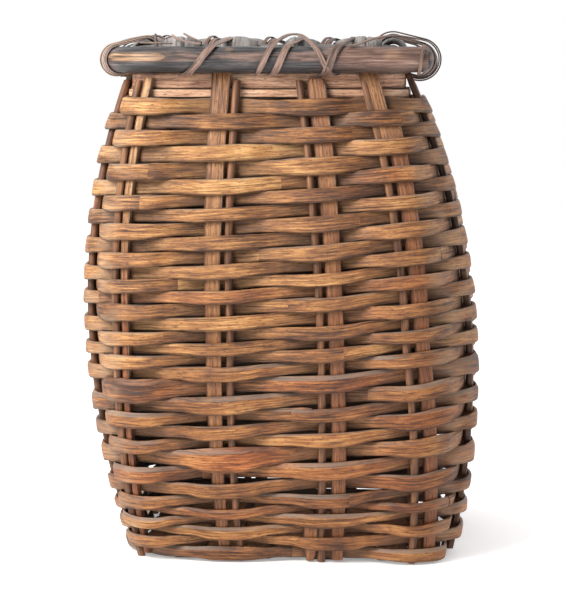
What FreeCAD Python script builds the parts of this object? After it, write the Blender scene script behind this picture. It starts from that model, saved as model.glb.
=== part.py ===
import FreeCAD, Part

import math
import os

# A tall bellied wicker fishing creel: woven rows round upright stakes, with a lashed rim.
# Lengths are in millimetres. The basket stands on the plane z = 0, its front faces -Y,
# and the origin is under the middle of its box.

# Wall, measured to the middle of the stakes
rim_height = 358.0
belly_height = 161.0
base_width = 230.0
base_depth = 184.0
base_corner_radius = 30.0
belly_width = 272.0
belly_depth = 218.0
belly_corner_radius = 46.0
rim_width = 192.0
rim_depth = 156.0
rim_corner_radius = 26.0
# The whole wall leans a little to the left, about a point at this height
lean = 18.0
lean_pivot_height = 160.0

# Gap left between pieces that bear on each other
seat_gap = 0.35

# Stakes: at each station a flat splint with a thinner round rod beside it
station_count = 14
flat_top_width = 14.0
flat_foot_width = 9.5
flat_thickness = 5.2
flat_foot_height = 3.5
flat_top_into_rod = 1.0
round_diameter = 6.0
round_top_below_rim = 14.5
pair_gap = 1.5
stake_levels = 16
# Stations at which the rod stands before the splint, going round from the front to the right
rod_first_stations = [0, 1, 12]
# How far each stake strays along the wall from even spacing, as a share of the spacing
base_drift_shares = [0.05, 0.21, 0, 0, 0, -0.2, -0.15, 0.15, 0.2, 0, 0, -0.15, -0.36, -0.27]
belly_drift_shares = [0.1, 0.02, 0, 0, 0, 0, 0, 0, 0, 0, 0, 0, -0.15, -0.13]
rim_drift_shares = [0.14, 0.06, 0, 0, 0, -0.08, 0.08, -0.1, 0.1, 0, 0, 0, -0.2, -0.07]

# Woven rows, from the edge of the base up to the last row under the band
weaver_thickness = 3.2
row_gap = 0.6
bend_reach = 4.0
crest_overrun = 0.5
lowest_row_height = 7.0
highest_row_height = 324.9
lowest_row_width = 6.0
highest_row_width = 10.0
# The rows climb a little to the right of this place, most of all at middle height
row_climb_share = 0.065
climb_pivot = -30.0
# Middle of each row between the lowest and the highest row, as hand weaving left them
row_height_shares = [
    0.0, 0.028, 0.05, 0.079, 0.097, 0.121, 0.152, 0.185, 0.228, 0.257, 0.286, 0.316,
    0.345, 0.387, 0.419, 0.448, 0.473, 0.498, 0.528, 0.559, 0.59, 0.615, 0.643, 0.672,
    0.706, 0.735, 0.768, 0.796, 0.829, 0.862, 0.898, 0.935, 0.966, 1.0,
]

# Flat band inside the stakes, just under the rim
band_bottom_height = 331.4
band_top_below_rim = 11.8
band_thickness = 3.2

# Rim: a thick withy outside, a thinner one inside and splints folded over the inner one
rod_diameter = 19.0
rod_end_overrun = 5.5
inner_rod_diameter = 12.0
inner_rod_rise = 4.8
fold_thickness = 3.2
fold_width = 26.0
fold_leg_length = 2.4
fold_pitch = 38.0
front_fold_count = 4
side_fold_count = 3

# Lashing wound round the rim, once for each gap between stakes
lash_diameter = 3.0
lash_gap = 0.9
lash_turns = 12
first_lash_gap = 2
lash_end_share = 0.09

# Base: splints laid across one another
splint_width = 20.0
splint_thickness = 3.5
splint_pitch = 24.5


def vector(x, y, z=0.0):
    return FreeCAD.Vector(x, y, z)


def along_wall(height, at_base, at_belly, at_rim):
    """A size that swells from the base to the belly and draws in again towards the rim."""
    if height < belly_height:
        share = (belly_height - height) / belly_height
        return at_belly - (at_belly - at_base) * share**2
    share = (height - belly_height) / (rim_height - belly_height)
    return at_belly - (at_belly - at_rim) * share**2


def section(height):
    """Half width, half depth, corner radius and middle of the wall at one height."""
    half_width = along_wall(height, base_width, belly_width, rim_width) / 2
    half_depth = along_wall(height, base_depth, belly_depth, rim_depth) / 2
    radius = along_wall(height, base_corner_radius, belly_corner_radius, rim_corner_radius)
    middle = lean * (lean_pivot_height - height) / rim_height
    return half_width, half_depth, radius, middle


def wall_place(height, share):
    """Point and outward normal on the wall, at a share of the way round from the front's middle."""
    half_width, half_depth, radius, middle = section(height)
    front = half_width - radius
    side = half_depth - radius
    corner = radius * math.pi / 2
    quarter = front + side + corner
    turn, along = divmod((share % 1.0) * 4, 1.0)
    mirrored = turn % 2 == 1
    distance = (1 - along if mirrored else along) * quarter
    if distance < front:
        x, y, nx, ny = distance, -half_depth, 0.0, -1.0
    elif distance < front + corner:
        angle = (distance - front) / radius
        nx, ny = math.sin(angle), -math.cos(angle)
        x, y = front + radius * nx, -side + radius * ny
    else:
        x, y, nx, ny = half_width, distance - front - corner - side, 1.0, 0.0
    if turn in (1, 2):
        y, ny = -y, -ny
    if turn in (2, 3):
        x, nx = -x, -nx
    return vector(x + middle, y, height), vector(nx, ny)


def station_share(height, station):
    if height < belly_height:
        reach = (belly_height - height) / belly_height
        end_drift = base_drift_shares[station]
    else:
        reach = (height - belly_height) / (rim_height - belly_height)
        end_drift = rim_drift_shares[station]
    drift = belly_drift_shares[station] * (1 - reach) + end_drift * reach
    return (station + 0.5 + drift) / station_count


def pair_way(station):
    return -1 if station in rod_first_stations else 1


def station_place(height, station):
    """Where a stake pair crosses a height, with the wall's outward and sideways directions."""
    point, outward = wall_place(height, station_share(height, station))
    return point, outward, vector(-outward.y, outward.x)


pair_width = flat_top_width + pair_gap + round_diameter
flat_place = (flat_top_width - pair_width) / 2
round_place = (pair_width - round_diameter) / 2
crest_half = pair_width / 2 + bend_reach + crest_overrun
flat_top_height = rim_height - rod_diameter / 2 + flat_top_into_rod
climb_rounds = 5
weave_offset = max(round_diameter, flat_thickness) / 2 + seat_gap + weaver_thickness / 2


def climb(level):
    """How steeply the row at a level rises to the right, as a share of the way across."""
    share = (level - lowest_row_height) / (highest_row_height - lowest_row_height)
    return row_climb_share * (1 - (2 * share - 1) ** 4)


def rounded_loop(points, offset, slope):
    """A closed wire that rounds each corner of a loop of points, moved outwards by offset."""
    count = len(points)
    bends = []
    for i in range(count):
        before, here, after = points[i - 1], points[i], points[(i + 1) % count]
        entering = (here - before).normalize()
        leaving = (after - here).normalize()
        middle = (entering + leaving).normalize()
        half_turn = math.acos(min(1.0, entering.dot(middle)))
        start = here - entering * bend_reach
        end = here + leaving * bend_reach
        dip = bend_reach * math.tan(half_turn / 2)
        inward = (leaving - entering).normalize()
        top = here + inward * dip
        bends.append([
            p + vector(way.y, -way.x, slope * way.y) * offset
            for p, way in ((start, entering), (top, middle), (end, leaving))
        ])
    edges = []
    for i in range(count):
        start, top, end = bends[i]
        edges.append(Part.Arc(start, top, end).toShape())
        edges.append(Part.LineSegment(end, bends[(i + 1) % count][0]).toShape())
    return Part.Wire(edges)


def weave_loop(level, row, offset):
    """The path of one row at one level, outside every second stake and inside the others."""
    slope = climb(level)
    points = []
    for station in range(station_count):
        side = 1 if (station + row) % 2 else -1
        height = level
        for _ in range(climb_rounds):
            place, outward, sideways = station_place(height, station)
            crest = place + outward * weave_offset * side
            height = level + slope * (crest.x - climb_pivot)
        for way in (-1, 1):
            point = crest + sideways * crest_half * way
            point.z = level + slope * (point.x - climb_pivot)
            points.append(point)
    return rounded_loop(points, offset, slope)


def closed_band(loop_at, bottom, top, thickness):
    """A ring between two heights that follows a wire on its outer and inner faces."""
    outer = Part.makeLoft([loop_at(z, thickness / 2) for z in (bottom, top)], True, True)
    inner = Part.makeLoft([loop_at(z, -thickness / 2) for z in (bottom, top)], True, True)
    return outer.cut(inner)


def row_bounds():
    """Bottom and top of each row, sharing the height between neighbours."""
    span = highest_row_height - lowest_row_height
    middles = [lowest_row_height + span * share for share in row_height_shares]
    edges = [(a + b) / 2 for a, b in zip(middles, middles[1:])]
    bottoms = [middles[0] - lowest_row_width / 2] + [edge + row_gap / 2 for edge in edges]
    tops = [edge - row_gap / 2 for edge in edges] + [middles[-1] + highest_row_width / 2]
    return list(zip(bottoms, tops))


def woven_row(row, bottom, top):
    return closed_band(lambda z, offset: weave_loop(z, row, offset), bottom, top, weaver_thickness)


def levels(bottom, top):
    return [bottom + (top - bottom) * i / stake_levels for i in range(stake_levels + 1)]


def flat_stake(station):
    """A splint that widens from its foot to its top and follows the wall."""
    top = flat_top_height
    wires = []
    for height in levels(flat_foot_height, top):
        share = (height - flat_foot_height) / (top - flat_foot_height)
        half = (flat_foot_width + (flat_top_width - flat_foot_width) * share) / 2
        place, outward, sideways = station_place(height, station)
        middle = place + sideways * flat_place * pair_way(station)
        corners = [
            middle + sideways * half * a + outward * flat_thickness / 2 * b
            for a, b in ((-1, -1), (1, -1), (1, 1), (-1, 1))
        ]
        wires.append(Part.makePolygon(corners + corners[:1]))
    return Part.makeLoft(wires, True, True)


def round_stake(station):
    """A thin round rod beside the splint, cut off under the rim and standing on its foot."""
    wires = []
    for height in levels(0.0, rim_height - round_top_below_rim):
        place, _, sideways = station_place(height, station)
        middle = place + sideways * round_place * pair_way(station)
        circle = Part.makeCircle(round_diameter / 2, middle, vector(0, 0, 1))
        wires.append(Part.Wire([circle]))
    return Part.makeLoft(wires, True, True)


def outline_wire(height, offset, base_height=None):
    """The wall's rounded outline at one height, moved outwards by offset."""
    half_width, half_depth, radius, middle = section(height)
    x, y, r = half_width + offset, half_depth + offset, radius + offset
    z = height if base_height is None else base_height
    diagonal = r * (1 - math.sqrt(0.5))
    edges = []
    for sx, sy in ((1, -1), (1, 1), (-1, 1), (-1, -1)):
        across = vector(middle + sx * (x - r), sy * y, z)
        corner = vector(middle + sx * (x - diagonal), sy * (y - diagonal), z)
        upright = vector(middle + sx * x, sy * (y - r), z)
        turn = (across, corner, upright) if sx * sy < 0 else (upright, corner, across)
        edges.append(turn)
    wire = []
    for i, turn in enumerate(edges):
        wire.append(Part.Arc(*turn).toShape())
        wire.append(Part.LineSegment(turn[2], edges[(i + 1) % 4][0]).toShape())
    return Part.Wire(wire)


def top_band():
    """The flat hoop that closes the weave, inside all the stakes."""
    offset = -(max(round_diameter, flat_thickness) + band_thickness) / 2 - seat_gap
    top = rim_height - band_top_below_rim
    return closed_band(
        lambda z, half: outline_wire(z, offset + half), band_bottom_height, top, band_thickness
    )


def rod_offset():
    """How far the outer rod's middle lies outside the wall at the rim's height."""
    widths = section(flat_top_height)
    rim = section(rim_height)
    spread = max(widths[0] - rim[0], widths[1] - rim[1])
    corner_bulge = (pair_width / 2) ** 2 / (2 * rim_corner_radius)
    radius = rod_diameter / 2
    reach = math.sqrt(radius**2 - (radius - flat_top_into_rod) ** 2)
    return spread + flat_thickness / 2 + corner_bulge + seat_gap + reach


def inner_offset():
    """How far the inner rod's middle lies from the same line, with a fold between the two."""
    return rod_offset() - rod_diameter / 2 - seat_gap - fold_radius()


def fold_radius():
    return inner_rod_diameter / 2 + seat_gap + fold_thickness


def rim_hoop():
    """The thick outer withy, bent round three corners and cut off past the fourth."""
    half_width, half_depth, radius, middle = section(rim_height)
    out = rod_offset()
    x, y, r = half_width + out, half_depth + out, radius + out
    diagonal = r * (1 - math.sqrt(0.5))
    rod_radius = rod_diameter / 2
    start = vector(middle + x + rod_end_overrun, -y, rim_height)
    end = vector(middle + x, -y + rod_radius + seat_gap, rim_height)
    edges = []
    before = start
    for sx, sy in ((-1, -1), (-1, 1), (1, 1)):
        across = vector(middle + sx * (x - r), sy * y, rim_height)
        corner = vector(middle + sx * (x - diagonal), sy * (y - diagonal), rim_height)
        upright = vector(middle + sx * x, sy * (y - r), rim_height)
        turn = (across, corner, upright) if sx * sy > 0 else (upright, corner, across)
        edges.append(Part.LineSegment(before, turn[0]).toShape())
        edges.append(Part.Arc(*turn).toShape())
        before = turn[2]
    edges.append(Part.LineSegment(before, end).toShape())
    circle = Part.Wire([Part.makeCircle(rod_radius, start, vector(1, 0, 0))])
    return Part.Wire(edges).makePipeShell([circle], True, False)


def inner_hoop():
    path = outline_wire(rim_height, inner_offset(), rim_height + inner_rod_rise)
    start = path.Vertexes[0].Point
    way = path.Edges[0].tangentAt(path.Edges[0].FirstParameter)
    circle = Part.Wire([Part.makeCircle(inner_rod_diameter / 2, start, way)])
    return path.makePipeShell([circle], True, False)


def fold(middle, outward):
    """A short splint bent over the inner rod, both ends hanging down."""
    sideways = vector(-outward.y, outward.x)
    up = vector(0, 0, 1)
    outer = fold_radius()
    inner = outer - fold_thickness
    down = up * -fold_leg_length
    start = middle - sideways * (fold_width / 2)
    corners = [start + outward * outer + down, start + outward * outer]
    far = [start - outward * outer, start - outward * outer + down]
    near = [start - outward * inner + down, start - outward * inner]
    last = [start + outward * inner, start + outward * inner + down]
    edges = [
        Part.LineSegment(*corners).toShape(),
        Part.Arc(corners[1], start + up * outer, far[0]).toShape(),
        Part.LineSegment(*far).toShape(),
        Part.LineSegment(far[1], near[0]).toShape(),
        Part.LineSegment(*near).toShape(),
        Part.Arc(near[1], start + up * inner, last[0]).toShape(),
        Part.LineSegment(*last).toShape(),
        Part.LineSegment(last[1], corners[0]).toShape(),
    ]
    return Part.Face(Part.Wire(edges)).extrude(sideways * fold_width)


def rim_folds():
    half_width, half_depth, _, middle = section(rim_height)
    x, y = half_width + inner_offset(), half_depth + inner_offset()
    height = rim_height + inner_rod_rise
    folds = []
    for way in (-1, 1):
        for i in range(front_fold_count):
            place = (i - (front_fold_count - 1) / 2) * fold_pitch
            folds.append(fold(vector(middle + place, way * y, height), vector(0, way)))
        for i in range(side_fold_count):
            place = (i - (side_fold_count - 1) / 2) * fold_pitch
            folds.append(fold(vector(middle + way * x, place, height), vector(way, 0)))
    return Part.makeCompound(folds)


def gap_share(gap):
    """Middle of the gap after a station, counted on past the full round."""
    turns, station = divmod(gap, station_count)
    here = station_share(rim_height, station)
    after, extra = station + 1, 0
    if after == station_count:
        after, extra = 0, 1
    return turns + (here + station_share(rim_height, after) + extra) / 2


def lash_loop_point(part):
    """Outward place and height on one turn: out under the rod, over the top, down inside."""
    rod = (rod_offset(), rim_height)
    inside = (inner_offset(), rim_height + inner_rod_rise)
    clear = lash_gap + lash_diameter / 2
    radius = max(rod_diameter / 2, fold_radius()) + clear
    run = math.hypot(rod[0] - inside[0], inside[1] - rod[1])
    tilt = math.atan2(inside[1] - rod[1], rod[0] - inside[0])
    half = math.pi * radius
    length = part * 2 * (run + half)
    if length < run / 2:
        angle, centre, straight = -math.pi / 2, rod, length - run / 2
    elif length < run / 2 + half:
        angle, centre, straight = -math.pi / 2 + (length - run / 2) / radius, rod, 0.0
    elif length < run * 1.5 + half:
        angle, centre, straight = math.pi / 2, rod, -(length - run / 2 - half)
    elif length < run * 1.5 + 2 * half:
        angle, centre, straight = math.pi / 2 + (length - run * 1.5 - half) / radius, inside, 0.0
    else:
        angle, centre, straight = -math.pi / 2, inside, length - run * 1.5 - 2 * half
    across = centre[0] + radius * math.cos(angle - tilt) + straight * math.cos(tilt)
    height = centre[1] + radius * math.sin(angle - tilt) - straight * math.sin(tilt)
    return across, height


def lash_joints():
    """Where each turn changes from a straight run to a half turn, as shares of the turn."""
    run = math.hypot(rod_offset() - inner_offset(), inner_rod_rise)
    radius = max(rod_diameter / 2, fold_radius()) + lash_gap + lash_diameter / 2
    half = math.pi * radius
    whole = 2 * (run + half)
    return [run / 2 / whole, (run / 2 + half) / whole, (run * 1.5 + half) / whole,
            (run * 1.5 + 2 * half) / whole]


def lash_place(turn):
    """The middle of the lashing after so many turns."""
    whole, part = divmod(turn, 1.0)
    gap = first_lash_gap + int(whole)
    share = gap_share(gap) + (gap_share(gap + 1) - gap_share(gap)) * part
    point, outward = wall_place(rim_height, share)
    across, height = lash_loop_point(part)
    place = point + outward * across
    return vector(place.x, place.y, height)


def biarc(start, way, end, end_way):
    """Two arcs that join two points, each meeting its own direction."""
    chord = end - start
    a = 2 * (1 - way.dot(end_way))
    b = 2 * chord.dot(way + end_way)
    c = -chord.dot(chord)
    tiny = 1e-6
    reach = -c / b if a < tiny else (math.sqrt(b * b - 4 * a * c) - b) / (2 * a)
    first = start + way * reach
    last = end - end_way * reach
    joint = (first + last) * 0.5
    edges = []
    for near, corner, far in ((start, first, joint), (joint, last, end)):
        middle = (near + far) * 0.5
        leg = (corner - near).Length
        half_chord = (far - near).Length / 2
        rise = (corner - middle).Length
        if rise < tiny:
            edges.append(Part.LineSegment(near, far).toShape())
            continue
        sagitta = half_chord * (leg - half_chord) / rise
        top = middle + (corner - middle).normalize() * sagitta
        edges.append(Part.Arc(near, top, far).toShape())
    return edges


def lash_path():
    """The lashing's middle line: straight at both ends, half turns and short runs between."""
    step = 1e-5
    turns = [lash_end_share]
    for whole in range(lash_turns):
        turns += [whole + joint for joint in lash_joints() if whole + joint > lash_end_share + step]
    turns.append(lash_turns - lash_end_share)
    turns = sorted(set(turns))
    points = [lash_place(turn) for turn in turns]
    ways = [(lash_place(t + step) - lash_place(t - step)).normalize() for t in turns]
    tail = lash_diameter
    edges = [Part.LineSegment(points[0] - ways[0] * tail, points[0]).toShape()]
    for i in range(len(points) - 1):
        edges += biarc(points[i], ways[i], points[i + 1], ways[i + 1])
    edges.append(Part.LineSegment(points[-1], points[-1] + ways[-1] * tail).toShape())
    return Part.Wire(edges)


def rim_lashing():
    path = lash_path()
    first = path.OrderedEdges[0]
    way = first.tangentAt(first.FirstParameter)
    start = path.OrderedVertexes[0].Point
    circle = Part.Wire([Part.makeCircle(lash_diameter / 2, start, way)])
    print("least gap of the lashing to itself, mm:", round(least_gap(path), 2))
    return path.makePipeShell([circle], True, False)


def least_gap(path):
    """Least distance between points of the lashing that aren't neighbours, less its diameter."""
    spacing = lash_diameter / 2
    points = path.discretize(Distance=spacing)
    skip = int(math.pi * lash_diameter / spacing) + 1
    least = min(
        (points[i] - points[j]).Length
        for i in range(len(points))
        for j in range(i + skip, len(points))
    )
    return least - lash_diameter


def base_splints(lengthwise):
    """Splints laid side by side, trimmed to the base's outline."""
    half_width, half_depth, _, middle = section(0.0)
    thick = max(round_diameter, flat_thickness) / 2
    if lengthwise:
        bottom = splint_thickness + seat_gap
        inset = weave_offset + weaver_thickness / 2 + seat_gap
        room = half_depth - inset
    else:
        bottom = 0.0
        inset = thick + seat_gap
        room = half_width - inset
    plate = Part.Face(outline_wire(0.0, -inset, bottom)).extrude(vector(0, 0, splint_thickness))
    count = int((2 * room + splint_pitch - splint_width) / splint_pitch)
    solids = []
    for i in range(count):
        place = (i - (count - 1) / 2) * splint_pitch
        if lengthwise:
            size = (2 * half_width, splint_width)
            corner = vector(middle - half_width, place - splint_width / 2, bottom)
        else:
            size = (splint_width, 2 * half_depth)
            corner = vector(middle + place - splint_width / 2, -half_depth, bottom)
        solids.append(Part.makeBox(*size, splint_thickness, corner).common(plate))
    return Part.makeCompound(solids)


def wall_stations(first, count):
    return [(first + i) % station_count for i in range(count)]


def save(name, shape):
    solids = shape.Solids
    kept = solids[0] if len(solids) == 1 else Part.makeCompound(solids)
    kept.exportStep("parts/" + name + ".step")
    return kept


def main():
    os.makedirs("parts", exist_ok=True)
    kept = []
    for row, (bottom, top) in enumerate(row_bounds()):
        name = "base_edge_weaver" if row == 0 else "weaver_row_%02d" % row
        kept.append(save(name, woven_row(row, bottom, top)))
    for station in range(station_count):
        kept.append(save("flat_stake_%02d" % (station + 1), flat_stake(station)))
    walls = {"front": (12, 4), "right": (2, 3), "back": (5, 4), "left": (9, 3)}
    for wall, (first, count) in walls.items():
        rods = [round_stake(station) for station in wall_stations(first, count)]
        kept.append(save("round_stakes_" + wall, Part.makeCompound(rods)))
    kept.append(save("top_band", top_band()))
    kept.append(save("rim_hoop", rim_hoop()))
    kept.append(save("inner_rim_hoop", inner_hoop()))
    kept.append(save("rim_folds", rim_folds()))
    kept.append(save("rim_lashing", rim_lashing()))
    kept.append(save("base_cross_splints", base_splints(False)))
    kept.append(save("base_long_splints", base_splints(True)))
    box = Part.makeCompound(kept).BoundBox
    print("nodes", len(kept), "box", box)


main()
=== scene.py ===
import math
import random

import bpy
import numpy as np
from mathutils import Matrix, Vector, noise

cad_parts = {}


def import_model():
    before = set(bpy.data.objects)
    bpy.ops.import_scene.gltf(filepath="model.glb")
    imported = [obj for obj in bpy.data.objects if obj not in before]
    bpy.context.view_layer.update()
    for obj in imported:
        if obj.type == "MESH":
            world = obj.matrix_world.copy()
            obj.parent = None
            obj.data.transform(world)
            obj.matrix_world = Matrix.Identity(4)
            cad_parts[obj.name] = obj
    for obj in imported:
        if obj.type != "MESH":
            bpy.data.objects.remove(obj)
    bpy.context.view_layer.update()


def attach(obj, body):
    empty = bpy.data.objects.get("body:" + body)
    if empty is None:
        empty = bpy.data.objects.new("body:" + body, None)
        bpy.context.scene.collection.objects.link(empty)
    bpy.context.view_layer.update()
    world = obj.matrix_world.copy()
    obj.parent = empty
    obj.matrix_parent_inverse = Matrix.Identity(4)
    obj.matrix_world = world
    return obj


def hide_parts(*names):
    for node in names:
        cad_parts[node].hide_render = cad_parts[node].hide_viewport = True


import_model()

# Wall, measured to the middle of the stakes
rim_height = 0.358
belly_height = 0.161
base_size = (0.23, 0.184, 0.03)
belly_size = (0.272, 0.218, 0.046)
rim_size = (0.192, 0.156, 0.026)
lean = 0.018
lean_pivot_height = 0.16

# Stakes
station_count = 14
flat_top_width = 0.014
flat_foot_width = 0.0095
flat_thickness = 0.0052
round_diameter = 0.006
round_top_below_rim = 0.0145
pair_gap = 0.0015
seat_gap = 0.00035
rod_first_stations = [0, 1, 12]
base_drift_shares = [0.05, 0.21, 0, 0, 0, -0.2, -0.15, 0.15, 0.2, 0, 0, -0.15, -0.36, -0.27]
belly_drift_shares = [0.1, 0.02, 0, 0, 0, 0, 0, 0, 0, 0, 0, 0, -0.15, -0.13]
rim_drift_shares = [0.14, 0.06, 0, 0, 0, -0.08, 0.08, -0.1, 0.1, 0, 0, 0, -0.2, -0.07]

# Woven rows
weaver_thickness = 0.0032
row_gap = 0.0006
lowest_row_height = 0.007
highest_row_height = 0.3249
lowest_row_width = 0.006
highest_row_width = 0.01
row_height_shares = [
    0, 0.028, 0.05, 0.079, 0.097, 0.121, 0.152, 0.185, 0.228, 0.257, 0.286, 0.316,
    0.345, 0.387, 0.419, 0.448, 0.473, 0.498, 0.528, 0.559, 0.59, 0.615, 0.643, 0.672,
    0.706, 0.735, 0.768, 0.796, 0.829, 0.862, 0.898, 0.935, 0.966, 1,
]
row_climb_share = 0.065
climb_pivot = -0.03
crest_half = 0.01525
bend_reach = 0.014
samples_a_bend = 9

# Rim
rod_diameter = 0.019
rod_out = 0.01287
rod_end_overrun = 0.0055
inner_rod_diameter = 0.012
inner_rod_out = -0.00653
inner_rod_rise = 0.0048
fold_thickness = 0.0032
band_thickness = 0.0032
# Splints of the top band: foot, top, and how far inwards each one sits
band_splints = [(0.3374, 0.3486, 0), (0.3314, 0.3371, 0.0002)]

sharp_angle = math.radians(32)
random.seed(11)


def along_wall(height, item):
    """One of the wall's sizes at a height: 0 is the width, 1 the depth, 2 the corner radius."""
    belly = belly_size[item]
    if height < belly_height:
        share = (belly_height - height) / belly_height
        return belly - (belly - base_size[item]) * share**2
    share = (height - belly_height) / (rim_height - belly_height)
    return belly - (belly - rim_size[item]) * share**2


def section(height):
    middle = lean * (lean_pivot_height - height) / rim_height
    return along_wall(height, 0) / 2, along_wall(height, 1) / 2, along_wall(height, 2), middle


def wall_place(height, share):
    """Point and outward normal on the wall, at a share of the way round from the front's middle."""
    half_width, half_depth, radius, middle = section(height)
    front = half_width - radius
    side = half_depth - radius
    corner = radius * math.pi / 2
    turn, along = divmod((share % 1.0) * 4, 1.0)
    distance = (1 - along if turn % 2 == 1 else along) * (front + side + corner)
    if distance < front:
        x, y, nx, ny = distance, -half_depth, 0.0, -1.0
    elif distance < front + corner:
        angle = (distance - front) / radius
        nx, ny = math.sin(angle), -math.cos(angle)
        x, y = front + radius * nx, -side + radius * ny
    else:
        x, y, nx, ny = half_width, distance - front - corner - side, 1.0, 0.0
    if turn in (1, 2):
        y, ny = -y, -ny
    if turn in (2, 3):
        x, nx = -x, -nx
    return np.array([x + middle, y, height]), np.array([nx, ny, 0.0])


def station_share(height, station):
    if height < belly_height:
        reach = (belly_height - height) / belly_height
        end_drift = base_drift_shares[station]
    else:
        reach = (height - belly_height) / (rim_height - belly_height)
        end_drift = rim_drift_shares[station]
    drift = belly_drift_shares[station] * (1 - reach) + end_drift * reach
    return (station + 0.5 + drift) / station_count


def station_place(height, station):
    point, outward = wall_place(height, station_share(height, station))
    return point, outward, np.array([-outward[1], outward[0], 0.0])


def pair_way(station):
    return -1 if station in rod_first_stations else 1


pair_width = flat_top_width + pair_gap + round_diameter
flat_place = (flat_top_width - pair_width) / 2
round_place = (pair_width - round_diameter) / 2
weave_offset = round_diameter / 2 + seat_gap + weaver_thickness / 2


def wobble(places, seed, length):
    """Smooth random values, about -1 to 1, along a list of places."""
    return np.array([noise.noise(Vector((p / length, seed * 7.31, 0.5))) * 1.6 for p in places])


def smooth(low, high, value):
    """0 below low and 1 above high, softly."""
    t = np.clip((value - low) / (high - low), 0, 1)
    return t * t * (3 - 2 * t)


def unit(rows):
    return rows / np.maximum(np.linalg.norm(rows, axis=-1, keepdims=True), 1e-12)


def closed(rows):
    return np.concatenate([rows, rows[:1]])


def columns(*values):
    """Rows of values, from lists and single numbers side by side."""
    return np.stack(np.broadcast_arrays(*values), axis=-1)


def arc_along(points):
    """How far along a path each of its points lies."""
    return np.concatenate([[0], np.cumsum(np.linalg.norm(np.diff(points, axis=0), axis=1))])


# Meshes


def make_piece(name, parts, material, node):
    """An object made of tubes (points, grain, look), on the body and in a node's place."""
    faces, count = [], 0
    for points, _, _ in parts:
        faces += tube_faces(count, *points.shape[:2])
        count += points.size // 3
    joined = [np.concatenate([grid.reshape(-1, 3) for grid in grids]) for grids in zip(*parts)]
    mesh = bpy.data.meshes.new(name)
    mesh.from_pydata(joined[0].tolist(), [], faces)
    for title, values in zip(("grain", "look"), joined[1:]):
        attribute = mesh.attributes.new(title, "FLOAT_VECTOR", "POINT")
        attribute.data.foreach_set("vector", values.astype(np.float32).ravel())
    mesh.shade_smooth()
    mesh.set_sharp_from_angle(angle=sharp_angle)
    mesh.materials.append(material)
    piece = bpy.data.objects.new(name, mesh)
    bpy.context.scene.collection.objects.link(piece)
    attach(piece, "root")
    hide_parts(node)


def tube_faces(first, rings, around):
    """Quads of a tube of rings, whose vertices start at first, and its two flat ends."""
    starts = range(first, first + rings * around, around)
    faces = []
    for here, there in zip(starts, starts[1:]):
        for j in range(around):
            k = (j + 1) % around
            faces.append([here + j, there + j, there + k, here + k])
    near, far = (list(range(start, start + around)) for start in (first, starts[-1]))
    return faces + [near, far[::-1]]


# Added to an attribute on the faces that look into the basket, which the wood paints dark as
# painted shade
inner_shade_mark = 2.5


def sweep(centres, across, outward, halves, thicks, outline, seed, look, start=0.0):
    """A strip along centres, whose outline holds shares of its half width and half thickness.

    A third value in the outline is the place across that the wood's colours are told. Directions,
    halves, thicks and look are given for each centre, or once for all.
    """
    across, outward = (np.broadcast_to(way, centres.shape) for way in (across, outward))
    look = np.broadcast_to(look, (len(centres), 2))
    shape = np.array([place[:2] for place in outline])
    marks = np.array([place[-1] if len(place) > 2 else place[0] for place in outline])
    aside = np.reshape(halves, (-1, 1)) * shape[:, 0]
    raised = np.reshape(thicks, (-1, 1)) * shape[:, 1]
    points = centres[:, None] + across[:, None] * aside[..., None]
    points += outward[:, None] * raised[..., None]
    length = start + arc_along(centres)[:, None]
    grain = columns(length, aside + 0.0004 * shape[:, 1], seed)
    looks = columns(marks, look[:, :1] - inner_shade_mark * (shape[:, 1] < -0.8), look[:, 1:])
    return points, grain, looks


strip_outline = [
    (-1, -0.55), (-1, 0.3), (-0.86, 0.8), (-0.45, 0.98), (0.1, 1), (0.55, 0.97), (0.9, 0.78),
    (1, 0.35), (1, -0.6), (0.88, -0.95), (0.1, -1), (-0.88, -0.95),
]
bevelled_outline = [
    (-1, -0.55), (-1, 0.45), (-0.9, 0.85), (-0.4, 1), (0.1, 1), (0.42, 0.93, 0.5),
    (0.56, 0.74, 1.15), (0.92, -0.12, 1.3), (1, -0.5, 1.3), (0.88, -0.95), (0.1, -1),
    (-0.88, -0.95),
]
round_outline = [(math.cos(a * math.pi / 6), math.sin(a * math.pi / 6)) for a in range(12)][::-1]


# Paths of the rows


def climb(level):
    share = (level - lowest_row_height) / (highest_row_height - lowest_row_height)
    return row_climb_share * (1 - (2 * share - 1) ** 4)


def row_corners(level, row):
    """Corners of a row's path, with the side of the wall: 1 outside a stake pair, -1 inside."""
    corners = []
    slope = climb(level)
    for station in range(station_count):
        side = 1 if (station + row) % 2 else -1
        height = level
        for _ in range(5):
            place, outward, sideways = station_place(height, station)
            crest = place + outward * weave_offset * side
            height = level + slope * (crest[0] - climb_pivot)
        for way in (-1, 1):
            point = crest + sideways * crest_half * way
            point[2] = level + slope * (point[0] - climb_pivot)
            corners.append([*point, side])
    return np.array(corners)


def rounded(corners):
    """The closed path with each corner bent softly."""
    out = []
    for i, here in enumerate(corners):
        before, after = corners[i - 1], corners[(i + 1) % len(corners)]
        ends = []
        for other in (before, after):
            share = min(bend_reach / np.linalg.norm((other - here)[:3]), 0.47)
            ends.append(here + (other - here) * share)
        for t in np.linspace(0, 1, samples_a_bend):
            out.append((1 - t) ** 2 * ends[0] + 2 * t * (1 - t) * here + t * t * ends[1])
    return np.array(out)


def row_bounds():
    span = highest_row_height - lowest_row_height
    middles = [lowest_row_height + span * share for share in row_height_shares]
    edges = [(a + b) / 2 for a, b in zip(middles, middles[1:])]
    bottoms = [middles[0] - lowest_row_width / 2] + [edge + row_gap / 2 for edge in edges]
    tops = [edge - row_gap / 2 for edge in edges] + [middles[-1] + highest_row_width / 2]
    return list(zip(bottoms, tops))


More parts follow.
